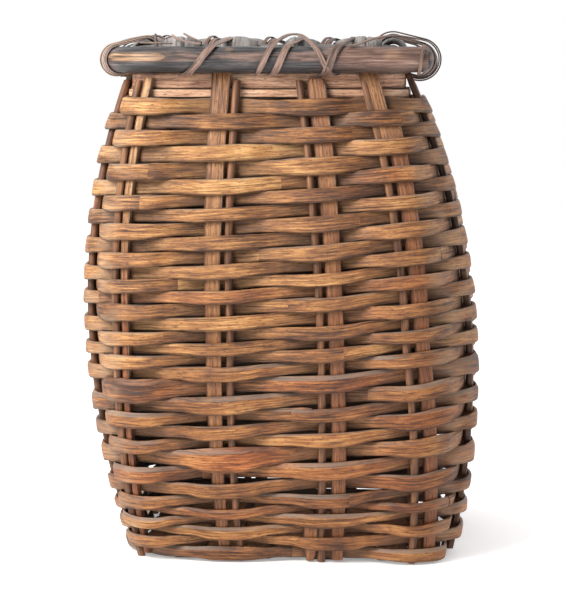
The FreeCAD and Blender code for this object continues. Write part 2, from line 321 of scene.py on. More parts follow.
# How far the rows stand above their level at each station
station_rises = [0, 0.0025, 0.0025, 0.001, 0, 0, 0, 0, 0, 0, 0.001, 0.002, 0.0025, 0.0005]

# Splices that show at the front: row, and place in stations (12 is the first stake, 15 the last)
front_splices = {
    32: 15.3, 31: 14.62, 29: 12.34, 28: 13.72, 27: 12.3, 25: 14.55, 23: 13.52, 21: 12.6, 19: 13.7,
    17: 12.55, 16: 14.6, 14: 12.75, 12: 14.5, 11: 13.6, 9: 13.1, 7: 12.9, 5: 14.3,
}

# Rows below this one show a worn bevel along their upper edge
first_plain_row = 15
# Places where a row is wider: row, place in stations, extra share of width, lift and redness
wide_places = [
    (8, 13.15, 0.42, -0.0005, 1), (13, 12.25, 0.38, 0.0004, 0), (3, 13.9, 0.3, 0, 0),
    (16, 13.1, 0.16, 0, 0), (21, 12.6, 0.18, 0, 0), (29, 12.7, 0.14, 0, 0),
    (6, 14.4, 0.2, 0, 0.6), (1, 14.6, 0.22, 0, 0), (10, 15.0, 0.22, 0, 0.5),
    (18, 14.2, 0.15, 0, 0.4),
]
wide_place_reach = 0.55
# Overlap of a row's two strips in stations, and how deep their ends sink into each other
splice_overlap = 0.24
splice_sink = 0.001
station_pitch = 0.063
# The front wall ends here, going back and to each side
front_ends_back = (0.03, -0.03)
front_ends_aside = (0.118, 0.1)
# How far rows rise and fall between stakes, and the base edge weaver's own width and drop
front_wave = 0.0022
base_edge_width_share = 1.22
base_edge_drop = 0.0012


def row_frame(level, row):
    """Along a row: middle, direction up the wall, outward direction, side and place in stations."""
    step = 0.005
    middle = rounded(row_corners(level, row))
    low = rounded(row_corners(level - step, row))
    high = rounded(row_corners(level + step, row))
    up = unit((high - low)[:, :3])
    points = middle[:, :3]
    tangent = unit(np.roll(points, -1, axis=0) - np.roll(points, 1, axis=0))
    flat = columns(tangent[:, 1], -tangent[:, 0], 0)
    outward = unit(flat - up * np.sum(flat * up, axis=1, keepdims=True))
    arc = arc_along(closed(points))
    arc, total = arc[:-1], arc[-1]
    bend_middles = arc[samples_a_bend // 2 :: samples_a_bend].reshape(station_count, 2)
    marks = bend_middles.mean(axis=1).tolist()
    marks = [marks[-1] - total] + marks + [marks[0] + total]
    station = np.interp(arc, marks, range(-1, station_count + 1))
    return points, up, outward, middle[:, 3], station


def strip_places(station, start, end):
    """Samples of a strip with its overlaps: indices, places from its start, and its span."""
    span = (end - start) % station_count
    away = (station - start) % station_count
    order = np.argsort(away)
    before = order[away[order] > station_count - splice_overlap * 0.6]
    inside = order[away[order] <= span + splice_overlap]
    place = np.concatenate([away[before] - station_count, away[inside]])
    return np.concatenate([before, inside]), place, span


def woven_row(row, bottom, top, material):
    """A row made of two split strips, whose ends lie on each other at the splices."""
    level, half = (bottom + top) / 2, (top - bottom) / 2
    points, up, outward, side, station = row_frame(level, row)
    reach = (rim_height - level) / rim_height
    hump = 1 - (2 * level / rim_height - 1) ** 4
    first = front_splices.get(row, random.uniform(3.2, 10.8)) % station_count
    other = (first + random.uniform(5.5, 8.0)) % station_count
    rises = closed(np.array(station_rises))
    parts = []
    for number, (start, end) in enumerate(((first, other), (other, first))):
        seed = row * 2 + number + 1
        picked, place, span = strip_places(station, start, end)
        metres = place * station_pitch
        point, rise, out = points[picked], up[picked], outward[picked]
        c = side[picked]
        crest = np.sign(c) * smooth(0.3, 1.0, np.abs(c))
        front = smooth(*front_ends_back, point[:, 1])
        front *= smooth(*front_ends_aside, np.abs(point[:, 0]))

        bow = np.interp(station[picked] % station_count, range(station_count + 1), rises)
        wave = 0.0002 + front_wave * reach**2 * front * (row > 0)
        stray = wobble(metres, seed, 0.08) * (0.0002 + 0.0006 * np.abs(crest)) * (0.3 + 0.7 * front)
        lift = bow * hump - wave * crest + stray
        width = (half + row_gap / 2) * (0.97 + 0.03 * wobble(metres, seed + 90, 0.06))
        width *= 1.09 - (0.09 + 0.15 * reach**2 * (1 - np.abs(crest))) * front
        width *= 1 + np.abs(crest) * (0.13 + 0.08 * math.sin(seed * 2.7))
        if row == 0:
            width, lift = width * base_edge_width_share, lift - base_edge_drop
        red = np.zeros(len(picked))
        for wide_row, wide_at, extra, raised, reddish in wide_places:
            if wide_row == row:
                near = (station[picked] - wide_at + 7) % station_count - 7
                near = np.exp(-(near / wide_place_reach) ** 2)
                width *= 1 + extra * near
                lift += raised * near
                red = np.maximum(red, reddish * near)

        thick = weaver_thickness / 2 * (0.92 + 0.1 * wobble(metres, seed + 40, 0.03))
        at_start = np.clip((place + splice_overlap * 0.6) / (splice_overlap * 1.2), 0, 1)
        at_end = np.clip((span + splice_overlap - place) / splice_overlap, 0, 1)
        sink = splice_sink * (1 - at_start) ** 0.5 - splice_sink * (1 - at_end) ** 0.5
        thick *= np.minimum(0.6 + 0.4 * at_start, 0.5 + 0.5 * at_end)
        width *= np.minimum(1, np.minimum(0.93 + 0.3 * at_start, 0.75 + 0.6 * at_end))
        twist = 0.1 * wobble(metres, seed + 60, 0.07) + 0.05 * crest
        across = rise * np.cos(twist)[:, None] - out * np.sin(twist)[:, None]
        face = out * np.cos(twist)[:, None] + rise * np.sin(twist)[:, None]
        centre = point + rise * lift[:, None] + out * sink[:, None]

        bend = 2 * np.abs(out[:, 0] * out[:, 1])
        # Pale wear on the bends, a little stronger on the left: that extra on the left is painted
        # light
        pale = np.where(point[:, 0] < 0, 0.55, 0.45) * smooth(0.55, 0.98, bend)
        look = columns(c, np.where(red > 0.02, -red, pale))
        bevelled = row < first_plain_row and (row * 5 + number * 3) % 4 != 1
        outline = bevelled_outline if bevelled else strip_outline
        parts.append(sweep(centre, across, face, width, thick, outline, seed, look, row * 0.7))
    name = "base_edge_weaver" if row == 0 else f"weaver_row_{row:02d}"
    make_piece(name + "_wood", parts, material, name)


# Stakes

flat_outline = [
    (-1, -0.55), (-1, 0.45), (-0.9, 0.85), (-0.45, 1), (0.1, 0.97), (0.5, 1), (0.92, 0.82),
    (1, 0.4), (1, -0.6), (0.85, -0.95), (0, -1), (-0.85, -0.95),
]

# Splints of each stake: bottom, top, shift sideways, share of the width, how pointed each end is
splint_bottom, splint_top = 0.0035, 0.3493
plain_splint = [(splint_bottom, splint_top, 0, 1, 0.1, 0)]
stake_splints = {
    0: [(0.0015, 0.3445, 0, 1, 0.05, 0.25), (0.0008, 0.027, -0.019, 1.1, 0.5, 0.1)],
    1: [(splint_bottom, 0.32, 0, 1, 0.1, 0), (0.3005, splint_top, -0.0075, 1, 0.9, 0)],
    12: [(splint_bottom, 0.345, -0.0036, 0.48, 0.1, 0.1)],
}
# Lengths over which a splint's foot and top are pointed
foot_point = 0.014
top_point = 0.006

# Red-brown stakes: most, the height where it starts and the height where it's full. On station 12,
# the first front stake, the red-brown on the lower part is painted shade
stake_redness_and_shade = {0: (0.35, 0.4, 0.36), 1: (0.8, 0.32, 0.28), 12: (1, 0.27, 0.17)}
no_redness = (0.0, 0.2, 0.1)


def stake_part(heights, station, aside, half, thick, outline, seed, look):
    """A splint or rod that follows the wall at a station, aside from the middle of its pair."""
    places = [station_place(height, station) for height in heights]
    centres, face, across = (np.array(rows) for rows in zip(*places))
    return sweep(centres + across * aside[:, None], across, face, half, thick, outline, seed, look)


def flat_stake(station, material):
    parts = []
    most, starts, full = stake_redness_and_shade.get(station, no_redness)
    for number, splint in enumerate(stake_splints.get(station, plain_splint)):
        bottom, top, shift, share, point_low, point_high = splint
        seed = 200 + station * 3 + number
        heights = np.linspace(bottom, top, 72)
        grown = (heights - splint_bottom) / (splint_top - splint_bottom)
        half = share * (flat_foot_width + (flat_top_width - flat_foot_width) * grown) / 2
        half *= 0.97 + 0.05 * wobble(heights, seed, 0.05)
        low = np.clip((heights - bottom) / foot_point, 0, 1)
        high = np.clip((top - heights) / top_point, 0, 1)
        half *= (1 - point_low * (1 - low) ** 1.4) * (1 - point_high * (1 - high) ** 2)
        thick = flat_thickness / 2 * (0.93 + 0.06 * wobble(heights, seed + 5, 0.03))
        aside = flat_place * pair_way(station) + shift + wobble(heights, seed + 9, 0.08) * 0.0004
        red = most * smooth(starts, full, heights)
        look = columns(0.2, -red)
        parts.append(stake_part(heights, station, aside, half, thick, flat_outline, seed, look))
    name = f"flat_stake_{station + 1:02d}"
    make_piece(name + "_splint", parts, material, name)


def round_stakes(wall, stations, material):
    parts = []
    heights = np.linspace(0.0, rim_height - round_top_below_rim, 80)
    worn_top = 1 - 0.12 * (1 - np.clip((heights[-1] - heights) / 0.002, 0, 1))
    for station in stations:
        seed = 300 + station
        radius = round_diameter / 2 * (0.96 + 0.04 * wobble(heights, seed, 0.02)) * worn_top
        aside = round_place * pair_way(station) + wobble(heights, seed + 9, 0.06) * 0.0003
        look = (0, 0)
        parts.append(stake_part(heights, station, aside, radius, radius, round_outline, seed, look))
    name = "round_stakes_" + wall
    make_piece(name + "_bark", parts, material, name)


# Rim


def hoop(height, offset, spacing=0.003):
    """Closed points and normals along the wall's rounded outline, moved outwards by offset."""
    half_width, half_depth, radius, middle = section(height)
    x, y, r = half_width + offset, half_depth + offset, radius + offset
    points, normals = [], []
    for number, (sx, sy) in enumerate(((1, -1), (1, 1), (-1, 1), (-1, -1))):
        start = math.atan2(sy, sx) - math.pi / 4
        corner = np.array([middle + sx * (x - r), sy * (y - r)])
        for a in np.linspace(start, start + math.pi / 2, 14):
            normal = np.array([math.cos(a), math.sin(a)])
            points.append(corner + normal * r)
            normals.append(normal)
        run = 2 * (y - r) if number % 2 == 0 else 2 * (x - r)
        way = np.array([-normals[-1][1], normals[-1][0]])
        for i in range(1, int(run / spacing)):
            points.append(corner + normals[-1] * r + way * run * i / int(run / spacing))
            normals.append(normals[-1])
    points, normals = closed(np.array(points)), closed(np.array(normals))
    return columns(*points.T, height), columns(*normals.T, 0)


def top_band(material):
    """The flat hoop inside the stakes, with a thinner splint laid along its foot."""
    parts = []
    offset = -(round_diameter + band_thickness) / 2 - seat_gap
    for number, (bottom, top, inward) in enumerate(band_splints):
        points, normals = hoop((bottom + top) / 2, offset - inward)
        seed = 400 + number
        half = (top - bottom) / 2 * (1 + 0.05 * wobble(arc_along(points), seed, 0.03))
        thick = band_thickness / 2 * (0.95 - 0.12 * number)
        parts.append(sweep(points, (0, 0, 1), normals, half, thick, strip_outline, seed, (0.3, 0)))
    make_piece("top_band_wood", parts, material, "top_band")


def bent_line(corners, radius, spacing):
    """x and y along a line through corners, bent at a radius round each inner one."""
    corners = [np.array(c, float) for c in corners]
    path = [corners[0]]
    for before, here, after in zip(corners, corners[1:], corners[2:]):
        entering, leaving = unit(here - before), unit(after - here)
        centre = here - entering * radius + leaving * radius
        for a in np.linspace(0, math.pi / 2, 24):
            path.append(centre - leaving * radius * math.cos(a) + entering * radius * math.sin(a))
    path = np.array(path + corners[-1:])
    arc = arc_along(path)
    even = np.linspace(0, arc[-1], int(arc[-1] / spacing))
    return np.interp(even, arc, path[:, 0]), np.interp(even, arc, path[:, 1])


# Knots of the thick withy: place along the front, angle up from the front, and size
rod_knots = [
    (0.018, -0.55, 0.0035), (0.08, 0.25, 0.005), (0.062, -0.75, 0.003), (-0.034, 0.9, 0.002),
]
knot_rise = 0.0006
knot_hollow = 0.0009
# The shaved flat: its middle, half length, depth and the angle that it faces
scarf_middle = -0.097
scarf_half = 0.0215
scarf_depth = 0.001
scarf_angle = 0.25
# How far the withy's cut ends are rounded off, ring by ring
end_insets = (0.0022, 0.0009, 0.0002)


def rim_rod(material):
    """The thick withy, with a shaved scarf at the front left and its cut end at the front right."""
    half_width, half_depth, radius, middle = section(rim_height)
    x, y = half_width + rod_out, half_depth + rod_out
    corners = [
        (middle + x + rod_end_overrun, -y), (middle - x, -y), (middle - x, y), (middle + x, y),
        (middle + x, -y + rod_diameter / 2 + seat_gap),
    ]
    points = columns(*bent_line(corners, radius + rod_out, 0.0017), rim_height)
    way = unit(np.gradient(points, axis=0))
    normals = columns(-way[:, 1], way[:, 0], 0)
    around = 28
    angles = np.linspace(0, 2 * math.pi, around, endpoint=False)
    arc = arc_along(points)
    radii = np.full((len(points), around), rod_diameter / 2 - 0.0002)
    marks = np.zeros((len(points), around))
    front = normals[:, 1] < -0.98
    for i, p in enumerate(points):
        for j, a in enumerate(angles):
            rough = noise.noise(Vector((arc[i] * 22, math.cos(a) * 0.9, math.sin(a) * 0.9 + 3.1)))
            fine = noise.noise(Vector((arc[i] * 90, math.cos(a) * 2.4, math.sin(a) * 2.4 + 9.1)))
            radii[i, j] += min(0.0002, rough * 0.0006 + fine * 0.00025 - 0.0002)
            if normals[i, 1] > -0.05:
                continue
            for place, angle, size in rod_knots if front[i] else []:
                off = math.hypot((p[0] - place) / size, (a - angle) * rod_diameter / 2 / size)
                swell = knot_rise * math.exp(-off * off) - knot_hollow * math.exp(-(off * 3.2) ** 2)
                radii[i, j] += swell
                marks[i, j] = min(marks[i, j], -0.4 * math.exp(-((off * 0.8) ** 4)))
            along = (p[0] - scarf_middle) / scarf_half
            if abs(along) < 1.0:
                depth = scarf_depth * (1 - along**4) ** 0.5
                flat_at = (rod_diameter / 2 - depth) / max(math.cos(a - scarf_angle), 0.2)
                if flat_at < radii[i, j]:
                    marks[i, j] = min(1.0, (radii[i, j] - flat_at) / 0.0005)
                    radii[i, j] = flat_at + 0.00012 * fine
    worn = smooth(0.022, 0.05, points[:, 0]) * front
    worn += smooth(0.35, 0.5, np.sin(arc * 31)) * 0.25 * ~front
    for i, inset in enumerate(end_insets):
        radii[i] -= inset
        radii[-1 - i] -= inset
    heights = np.sin(angles)
    rings = points[:, None] + normals[:, None] * (radii * np.cos(angles))[..., None]
    rings[..., 2] += radii * heights
    grain = columns(arc[:, None], heights * rod_diameter / 2, 500)
    looks = columns(heights, worn[:, None], marks)
    part = [grid[:, ::-1] for grid in (rings, grain, looks)]
    make_piece("rim_hoop_withy", [part], material, "rim_hoop")


def inner_rod(material):
    points, normals = hoop(rim_height, inner_rod_out)
    points[:, 2] += inner_rod_rise
    radius = inner_rod_diameter / 2 * (0.95 + 0.05 * wobble(arc_along(points), 61, 0.03))
    part = sweep(points, (0, 0, 1), normals, radius, radius, round_outline, 520, (0.2, 0))
    make_piece("inner_rim_hoop_rod", [part], material, "inner_rim_hoop")


# Folds over the inner hoop: shift along the rim and width, for the front from left to right
front_folds = [(-0.003, 0.029), (-0.002, 0.0305), (0.0045, 0.02), (0.0115, 0.027)]
fold_width = 0.027
fold_pitch = 0.038
fold_rise = 0.0096
# A broken twig that stands up between the first two folds at the front
twig_foot = (-0.0868, -0.079, 0.365)
twig_length = 0.0112
twig_radius = 0.0017


def fold(middle, outward, width, seed):
    """A splint bent over the inner hoop, bowed across and cracked along its length."""
    sideways = np.array([-outward[1], outward[0], 0.0])
    rng = random.Random(seed * 5)
    split = rng.uniform(-0.3, 0.4)
    outline = []
    for u in np.linspace(-1, 1, 21):
        bow = 2.3 * (1 - abs(u) ** 2.4) - 0.9 * math.exp(-(((u - split) / 0.035) ** 2))
        outline.append((u, bow - 0.1 + rng.uniform(-0.1, 0.1)))
    outline += [(0.95, -0.95), (0.0, -1.0), (-0.95, -0.95)]
    first, last = rng.uniform(-0.05, 0.1) - 0.2, math.pi + 0.2 - rng.uniform(-0.05, 0.1)
    angles = np.linspace(first, last, 26)
    bulk = np.sin(np.clip(angles, 0, math.pi)) ** 0.5
    radius = fold_rise - fold_thickness / 2 + 0.0001
    face = outward * np.cos(angles)[:, None]
    face[:, 2] = np.sin(angles)
    half = width / 2 * (0.8 + 0.2 * bulk) * (1 + 0.05 * wobble(angles, seed, 0.5))
    thick = fold_thickness / 2 * (0.5 + 0.45 * bulk) * (1 + 0.08 * wobble(angles, seed + 3, 0.3))
    look = (0.2, rng.uniform(0, 1))
    return sweep(middle + face * radius, sideways, face, half, thick, outline, seed, look)


def rim_folds(material):
    half_width, half_depth, _, middle = section(rim_height)
    x, y = half_width + inner_rod_out, half_depth + inner_rod_out
    height = rim_height + inner_rod_rise
    parts = []
    for way in (-1, 1):
        for i in range(4):
            shift, width = front_folds[i]
            if way > 0:
                shift, width = random.uniform(-0.003, 0.003), fold_width
            at = np.array([middle + (i - 1.5) * fold_pitch + shift, way * y, height])
            parts.append(fold(at, np.array([0.0, way, 0.0]), width, 540 + i + way * 10))
        for i in range(3):
            at = np.array([middle + way * x, (i - 1) * fold_pitch, height])
            parts.append(fold(at, np.array([way, 0.0, 0.0]), fold_width, 580 + i + way * 10))
    grown = np.linspace(0, 1, 8)
    centres = np.array(twig_foot) + np.outer(grown, [-0.0008, 0.0, twig_length])
    half = twig_radius * (1 - 0.6 * grown)
    dark_outline = [(*place, 1.0) for place in round_outline]
    parts.append(sweep(centres, (1, 0, 0), (0, -1, 0), half, half, dark_outline, 599, (0.2, 1)))
    make_piece("rim_fold_splints", parts, material, "rim_folds")


# Lashing

lash_clear = 0.0011
lash_radius = 0.0096


def lash_oval(part, clear):
    """Outward place, height and angle on a turn: under the rod, up its front and down inside."""
    rod = (rod_out, rim_height)
    inside = (inner_rod_out, rim_height + inner_rod_rise)
    radius = lash_radius + clear
    run = math.hypot(rod[0] - inside[0], inside[1] - rod[1])
    tilt = math.atan2(inside[1] - rod[1], rod[0] - inside[0])
    half_round = run + math.pi * radius
    # Each half is a straight run and then a bend, round the rod or round the inner hoop
    half, along = divmod((part % 1.0) * 2 * half_round + run / 2, half_round)
    centre, way = (inside, -1) if half == 1 else (rod, 1)
    straight = way * min(0.0, along - run)
    angle = max(0.0, along - run) / radius - way * math.pi / 2 - tilt
    across = centre[0] + radius * math.cos(angle) + straight * math.cos(tilt)
    height = centre[1] + radius * math.sin(angle) - straight * math.sin(tilt)
    return across, height, angle


def smooth_route(stops, spacing):
    """A soft curve through stops in (share of the rim, part of a turn, lift)."""
    stops = np.array(stops, float)
    stops = np.concatenate([2 * stops[:1] - stops[1:2], stops, 2 * stops[-1:] - stops[-2:-1]])
    out = []
    for a, b, c, d in zip(stops, stops[1:], stops[2:], stops[3:]):
        for t in np.arange(0, 1, spacing):
            bent = (2 * a - 5 * b + 4 * c - d) * t * t + (3 * b - a - 3 * c + d) * t**3
            out.append(0.5 * (2 * b + (c - a) * t + bent))
    out.append(stops[-2])
    return np.array(out)


rim_length = 0.6514
rim_middle = -0.00996
ribbon_thickness = 0.0011
ribbon_end_share = 0.25
ribbon_outline = [
    (-1, 0), (-0.85, 0.7), (-0.3, 1), (0.3, 0.9), (0.85, 0.75), (1, 0), (0.8, -0.8), (0, -0.9),
    (-0.8, -0.8),
]


def ribbon(stops, width, seed, pale=0.0, straight=False):
    """A thin split strip laid round the rim, or round the front rod alone where it is straight."""
    points, normals = [], []
    for share, part, lift in smooth_route(stops, 0.06):
        if straight:
            point = np.array([rim_middle + share * rim_length, -rim_size[1] / 2, 0.0])
            outward = np.array([0.0, -1.0, 0.0])
        else:
            point, outward = wall_place(rim_height, share)
        across, height, angle = lash_oval(part, lash_clear + lift)
        place = point + outward * across
        points.append([place[0], place[1], height])
        normals.append(outward * math.cos(angle) + np.array([0.0, 0.0, math.sin(angle)]))
    points, normals = np.array(points), np.array(normals)
    way = unit(np.gradient(points, axis=0))
    normals = unit(normals - way * np.sum(normals * way, axis=1, keepdims=True))
    across = np.cross(way, normals)
    arc = np.linspace(0, 1, len(points))
    metres = np.cumsum(np.linalg.norm(np.gradient(points, axis=0), axis=1))
    ends = ribbon_end_share + (1 - ribbon_end_share) * np.minimum(arc, 1 - arc) * 14
    half = width / 2 * np.minimum(1, ends) * (1 + 0.12 * wobble(metres, seed, 0.012))
    look = columns(wobble(metres, seed + 3, 0.02), pale)
    thick = ribbon_thickness / 2
    return sweep(points, across, normals, half, thick, ribbon_outline, seed, look)


def at_front(x, part, lift=0.0):
    """A stop on the front run, given by its place across."""
    return ((x - rim_middle) / rim_length, part, lift)


# Strips at the front, from the withy's front over the top and down inside: width, and stops as
# place across, part of a turn and lift
front_strips = [
    (0.005, [
        (-0.0698, 0.09), (-0.0658, 0.14), (-0.0557, 0.25), (-0.0447, 0.4), (-0.0338, 0.62),
        (-0.0297, 0.85)]),
    (0.0024, [(-0.0617, 0.11), (-0.0587, 0.2), (-0.0498, 0.33), (-0.0407, 0.45), (-0.0318, 0.7)]),
    (0.004, [
        (-0.017, 0.1), (-0.0108, 0.24), (-0.004, 0.37, 0.001), (0.0025, 0.45, 0.0038),
        (0.0081, 0.5, 0.0048), (0.0152, 0.5, 0.0042), (0.0215, 0.43, 0.002), (0.028, 0.33),
        (0.035, 0.2), (0.043, 0.06)]),
    (0.0046, [
        (-0.0085, 0.06), (-0.0035, 0.15), (0.0025, 0.28), (0.0085, 0.42), (0.015, 0.56),
        (0.0222, 0.85)]),
    (0.0034, [
        (0.027, 0.05), (0.031, 0.15), (0.0365, 0.29), (0.043, 0.42), (0.05, 0.55), (0.056, 0.85)]),
    (0.003, [(0.031, 0.07), (0.0355, 0.18), (0.04, 0.3), (0.0455, 0.42), (0.053, 0.6)]),
    (0.0034, [
        (0.0485, 0.37), (0.056, 0.42), (0.0655, 0.47, 0.003), (0.078, 0.5, 0.004),
        (0.09, 0.46, 0.0035), (0.101, 0.38, 0.003), (0.107, 0.25, 0.003), (0.109, 0.08, 0.003),
        (0.108, -0.1, 0.002)]),
]
# Loose tails: strips that lie on the rim's top
tails = [
    (0.0024, [(-0.0757, 0.52, 0.004), (-0.0698, 0.47, 0.002), (-0.0597, 0.42, 0.001),
              (-0.0538, 0.4, 0.001)]),
    (0.0018, [(-0.0678, 0.55, 0.004), (-0.0617, 0.49, 0.003), (-0.0538, 0.44, 0.001)]),
    (0.002, [(-0.0917, 0.43, 0.001), (-0.0838, 0.42, 0.001), (-0.0738, 0.42, 0.0005)]),
]
# Two strands round the other walls: width, shift round the rim and lift
strands = [(0.0046, 0, 0), (0.003, 0.006, 0.0012)]
strand_turns = 9
strand_start, strand_end = 0.19, 0.815
# Wraps at the two ends of the front: place round the rim, width, lift and paleness
end_wraps = [
    (0.16, 0.008, 0.0004, 0), (0.166, 0.005, 0.0012, 0), (0.174, 0.0026, 0.0042, 0),
    (0.85, 0.006, -0.0007, 0), (0.844, 0.0074, 0.0001, 1), (0.839, 0.006, 0.0009, 0.8),
]
# A pale strip on the withy's cut end: place across, its lean, and width
end_strip_place = 0.0975
end_strip_lean = 0.0007
end_strip_width = 0.0026


def rim_lashing(material):
    parts = []
    for number, (width, stops) in enumerate(front_strips + tails):
        parts.append(ribbon([at_front(*stop) for stop in stops], width, 610 + number))
    for strand, (width, shift, lift) in enumerate(strands):
        stops = []
        for i in range(strand_turns * 8 + 1):
            share = strand_start + (strand_end - strand_start) * i / (strand_turns * 8) + shift
            loose = lift + 0.0008 * (1 + math.sin(i * 1.7 + strand))
            stops.append((share, i / 8 + 0.1, loose))
        parts.append(ribbon(stops, width, 640 + strand))
    for number, (share, width, lift, pale) in enumerate(end_wraps):
        stops = [(share + 0.003 * math.sin(i * 0.7), i / 8 + 0.4, lift) for i in range(11)]
        parts.append(ribbon(stops, width, 660 + number, pale))
    stops = [at_front(end_strip_place + end_strip_lean * i, 0.14 + 0.05 * i) for i in range(6)]
    parts.append(ribbon(stops, end_strip_width, 670, 0.6, True))
    make_piece("rim_lashing_strips", parts, material, "rim_lashing")


# Base

splint_width = 0.0225
splint_pitch = 0.0245
splint_half_thickness = 0.0016
base_middle = 0.0037
base_rise = 0.0019
splint_end_clear = 0.0005


def base_splints(lengthwise, material):
    """Splints of the base, each over and under those that cross it."""
    half_width, half_depth, radius, middle = section(0.0)
    count, others = (7, 9) if lengthwise else (9, 7)
    inset = weave_offset + weaver_thickness / 2 if lengthwise else round_diameter / 2
    inset += seat_gap
    x, y, r = half_width - inset, half_depth - inset, radius - inset
    limit, room = (y, x) if lengthwise else (x, y)
    parts = []
    for i in range(count):
        place = (i - (count - 1) / 2) * splint_pitch
        cut = max(0.0, abs(place) + splint_width / 2 - (limit - r))
        rounded_off = r - math.sqrt(max(0.0, r * r - min(cut, r) ** 2))
        reach = room - rounded_off - splint_end_clear
        along = np.linspace(-reach, reach, 90)
        phase = along / splint_pitch + (others - 1) / 2
        nearest = np.round(phase)
        sign = np.where((nearest + i) % 2 == 0, 1.0, -1.0) * (1 if lengthwise else -1)
        level = sign * (1 - 2 * smooth(0.4, 0.6, np.abs(phase - nearest)))
        heights = base_middle + level * base_rise
        seed = 700 + i + 20 * lengthwise
        half = splint_width / 2 * (0.97 + 0.03 * wobble(along, seed, 0.03))
        if lengthwise:
            centres, across = columns(along + middle, place, heights), (0, 1, 0)
        else:
            centres, across = columns(place + middle, along, heights), (-1, 0, 0)
        # The level goes in as the place across: the wood paints the stretches under a crossing
        # splint dark, as painted shade, and gives those on top its weathered grey
        up, thick, look = (0, 0, 1), splint_half_thickness, columns(level, 0)
        parts.append(sweep(centres, across, up, half, thick, flat_outline, seed, look))
    name = "base_long_splints" if lengthwise else "base_cross_splints"
    make_piece(name + "_wood", parts, material, name)


# Materials

honey = [
    (0.32, (0.06, 0.024, 0.011)), (0.41, (0.175, 0.072, 0.026)), (0.5, (0.305, 0.134, 0.044)),
    (0.58, (0.445, 0.215, 0.072)), (0.68, (0.62, 0.36, 0.145)),
]
darker = [
    (0.3, (0.09, 0.038, 0.018)), (0.39, (0.23, 0.103, 0.044)), (0.5, (0.35, 0.172, 0.072)),
    (0.6, (0.46, 0.246, 0.11)), (0.7, (0.56, 0.335, 0.165)),
]
# The band's pale wood, raised lighter still as painted light against the shadow under the rod
russet_and_painted_light = [
    (0.3, (0.21, 0.105, 0.068)), (0.39, (0.45, 0.24, 0.15)), (0.49, (0.66, 0.39, 0.25)),
    (0.58, (0.8, 0.53, 0.36)), (0.7, (0.88, 0.67, 0.49)),
]
bast = [
    (0.3, (0.05, 0.032, 0.028)), (0.42, (0.13, 0.082, 0.066)), (0.55, (0.27, 0.165, 0.13)),
    (0.68, (0.42, 0.29, 0.235)), (0.8, (0.55, 0.43, 0.36)),
]
charcoal = [
    (0.34, (0.012, 0.012, 0.014)), (0.47, (0.034, 0.033, 0.036)), (0.6, (0.08, 0.072, 0.073)),
    (0.76, (0.18, 0.155, 0.15)),
]
worn_and_highlight_bark = [
    (0.3, (0.038, 0.023, 0.02)), (0.48, (0.125, 0.07, 0.055)), (0.62, (0.225, 0.138, 0.108)),
    (0.8, (0.37, 0.265, 0.22)),
]
bare_wood = [(0.38, (0.07, 0.042, 0.028)), (0.47, (0.22, 0.128, 0.072)), (0.62, (0.4, 0.245, 0.14))]
rod_brown = [
    (0.34, (0.04, 0.02, 0.014)), (0.47, (0.12, 0.058, 0.034)), (0.58, (0.255, 0.118, 0.058)),
    (0.72, (0.43, 0.235, 0.13)),
]
silver = [
    (0.34, (0.05, 0.046, 0.044)), (0.46, (0.16, 0.148, 0.142)), (0.58, (0.31, 0.29, 0.28)),
    (0.75, (0.48, 0.45, 0.43)),
]
# Dark for knots, cracks and specks, and for the painted shade along the strips' lower edges
dark_mark_and_shade_colour = (0.03, 0.012, 0.007)
# Grime and painted shade where the rows pass behind the stakes
dirt_and_shade_colour = (0.135, 0.085, 0.058)
straw = (0.36, 0.26, 0.175)
red_tint = (0.92, 0.66, 0.56)
brown_tint = (0.66, 0.46, 0.4)
weathered = (0.19, 0.148, 0.122)
# Painted shade on the faces that look into the basket
inside_shade_colour = (0.028, 0.015, 0.009)
# Tints: the foot of the wall darker and browner, partly painted shade, and the right side darker as
# painted shade, away from the light
foot_tint_and_shade = (0.86, 0.74, 0.63)
right_side_shade = (0.86, 0.8, 0.78)
white = (1.0, 1.0, 1.0)


class Nodes:
    """A node tree, built up node by node."""

    def __init__(self, tree):
        self.tree = tree
        self.known = {}

    def node(self, kind, inputs=None, **settings):
        made = self.tree.nodes.new("ShaderNode" + kind)
        for title, value in settings.items():
            setattr(made, title, value)
        for title, value in (inputs or {}).items():
            self.put(made.inputs[title], value)
        return made

    def put(self, socket, value):
        if isinstance(value, bpy.types.NodeSocket):
            self.tree.links.new(value, socket)
        else:
            socket.default_value = (*value, 1.0) if isinstance(value, tuple) else value

    def math(self, kind, a, b=0.0, c=0.0, clamp=False):
        made = self.node("Math", {0: a, 1: b, 2: c}, operation=kind, use_clamp=clamp)
        return made.outputs[0]

    def times(self, a, b):
        return self.math("MULTIPLY", a, b)

    def plus(self, a, b):
        return self.math("ADD", a, b)

    def scaled(self, a, factor, more):
        return self.math("MULTIPLY_ADD", a, factor, more)

    def step(self, low, high, value, to_low=0.0, to_high=1.0):
        """to_low below low and to_high above high, softly."""
        made = self.node("MapRange", {"Value": value, "From Min": low, "From Max": high,
                                      "To Min": to_low, "To Max": to_high},
                         interpolation_type="SMOOTHSTEP")
        return made.outputs["Result"]

    def blend(self, share, a, b):
        return self.node("Mix", {0: share, 2: a, 3: b}).outputs[0]

    def split(self, vector):
        return self.node("SeparateXYZ", {"Vector": vector}).outputs[:]


